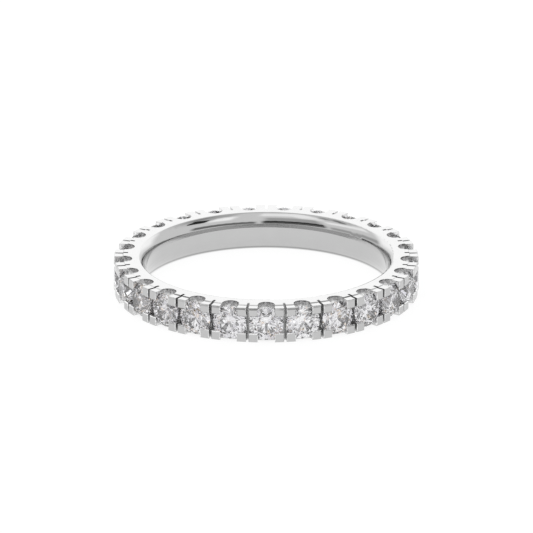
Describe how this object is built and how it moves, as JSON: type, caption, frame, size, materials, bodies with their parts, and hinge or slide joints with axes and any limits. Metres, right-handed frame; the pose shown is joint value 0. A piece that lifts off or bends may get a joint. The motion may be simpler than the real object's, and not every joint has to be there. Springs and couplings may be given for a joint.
{
  "type": "eternity ring",
  "caption": "Full eternity ring: white metal band with a comfort-fit bore, set all round with round brilliant stones, each held at its corners by four block prongs.",
  "frame": {"origin": "centre of the ring on the plane of its lower side wall, which it rests on", "axes": "+Z along the finger axis, from the lower side wall to the upper one; the first stone faces -Y, which is the front"},
  "size_m": [0.0214, 0.0214, 0.0026],
  "materials": {
    "metal": "polished white gold, bright all over",
    "stone": "clear diamond, polished flat facets"
  },
  "bodies": {
    "root": {"band": "metal", "stone_1": "stone", "stone_2": "stone", "stone_3": "stone", "stone_4": "stone", "stone_5": "stone", "stone_6": "stone", "stone_7": "stone", "stone_8": "stone", "stone_9": "stone", "stone_10": "stone", "stone_11": "stone", "stone_12": "stone", "stone_13": "stone", "stone_14": "stone", "stone_15": "stone", "stone_16": "stone", "stone_17": "stone", "stone_18": "stone", "stone_19": "stone", "stone_20": "stone", "stone_21": "stone", "stone_22": "stone", "stone_23": "stone", "stone_24": "stone", "stone_25": "stone"}
  },
  "joints": []
}
